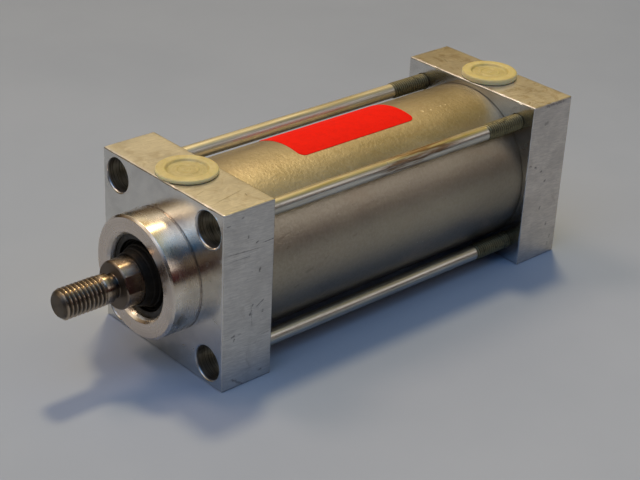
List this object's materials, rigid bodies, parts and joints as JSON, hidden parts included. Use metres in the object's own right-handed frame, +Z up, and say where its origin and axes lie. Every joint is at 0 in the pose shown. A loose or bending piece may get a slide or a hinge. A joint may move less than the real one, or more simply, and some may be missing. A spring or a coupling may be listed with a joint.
{
  "type": "pneumatic cylinder",
  "caption": "Square-head tie-rod pneumatic cylinder, retracted, with a round pilot collar, a male-threaded rod end and plugged top ports.",
  "frame": {"origin": "on the rod axis, in the mounting face of the front head, where the pilot collar meets it", "axes": "+Z up through the two ports, rod axis along Y with the rod pointing to -Y, +X to the right seen from the rod end"},
  "size_m": [0.062, 0.1967, 0.0642],
  "materials": {
    "head_aluminium": "milled",
    "turned_aluminium": "turned",
    "piston_aluminium": "turned",
    "tube_metal": "satin, lightly textured",
    "rod_steel": "polished, dark thread",
    "tie_rod_steel": "plated, drawn",
    "plated_steel": "plated",
    "black_steel": "black oxide",
    "bush_bronze": "sintered",
    "black_rubber": "moulded",
    "guide_plastic": "matte",
    "plug_plastic": "translucent, moulded",
    "red_film": "printed film, plain"
  },
  "bodies": {
    "housing": {"front_head": "head_aluminium", "rear_head": "head_aluminium", "rod_gland": "turned_aluminium", "wiper_retaining_ring": "black_steel", "rod_wiper": "black_rubber", "barrel_tube": "tube_metal", "tie_rods": "tie_rod_steel", "label": "red_film", "front_tie_rod_nuts": "plated_steel", "rear_tie_rod_nuts": "plated_steel", "rod_bush": "bush_bronze", "rod_seal": "black_rubber", "gland_o_ring": "black_rubber", "front_tube_o_ring": "black_rubber", "rear_tube_o_ring": "black_rubber", "front_bumper": "black_rubber", "rear_bumper": "black_rubber"},
    "piston_rings": {"piston_guide_ring": "guide_plastic", "front_piston_seal": "black_rubber", "rear_piston_seal": "black_rubber"},
    "rod_and_piston": {"piston_rod": "rod_steel", "piston": "piston_aluminium", "piston_bore_o_ring": "black_rubber", "piston_washer": "plated_steel", "piston_nut": "plated_steel"},
    "front_plug": {"front_port_plug": "plug_plastic"},
    "rear_plug": {"rear_port_plug": "plug_plastic"}
  },
  "joints": [
    {"name": "rod_slide", "type": "slide", "parent": "housing", "child": "piston_rings", "axis": [0, -1, 0], "range_m": [0, 0.08]},
    {"name": "rod_turn", "type": "hinge", "parent": "piston_rings", "child": "rod_and_piston", "pos_m": [0, 0, 0], "axis": [0, -1, 0], "continuous": true},
    {"name": "front_plug_lift", "type": "slide", "parent": "housing", "child": "front_plug", "axis": [0, 0, 1], "range_m": [0, 0.02]},
    {"name": "rear_plug_lift", "type": "slide", "parent": "housing", "child": "rear_plug", "axis": [0, 0, 1], "range_m": [0, 0.02]}
  ]
}
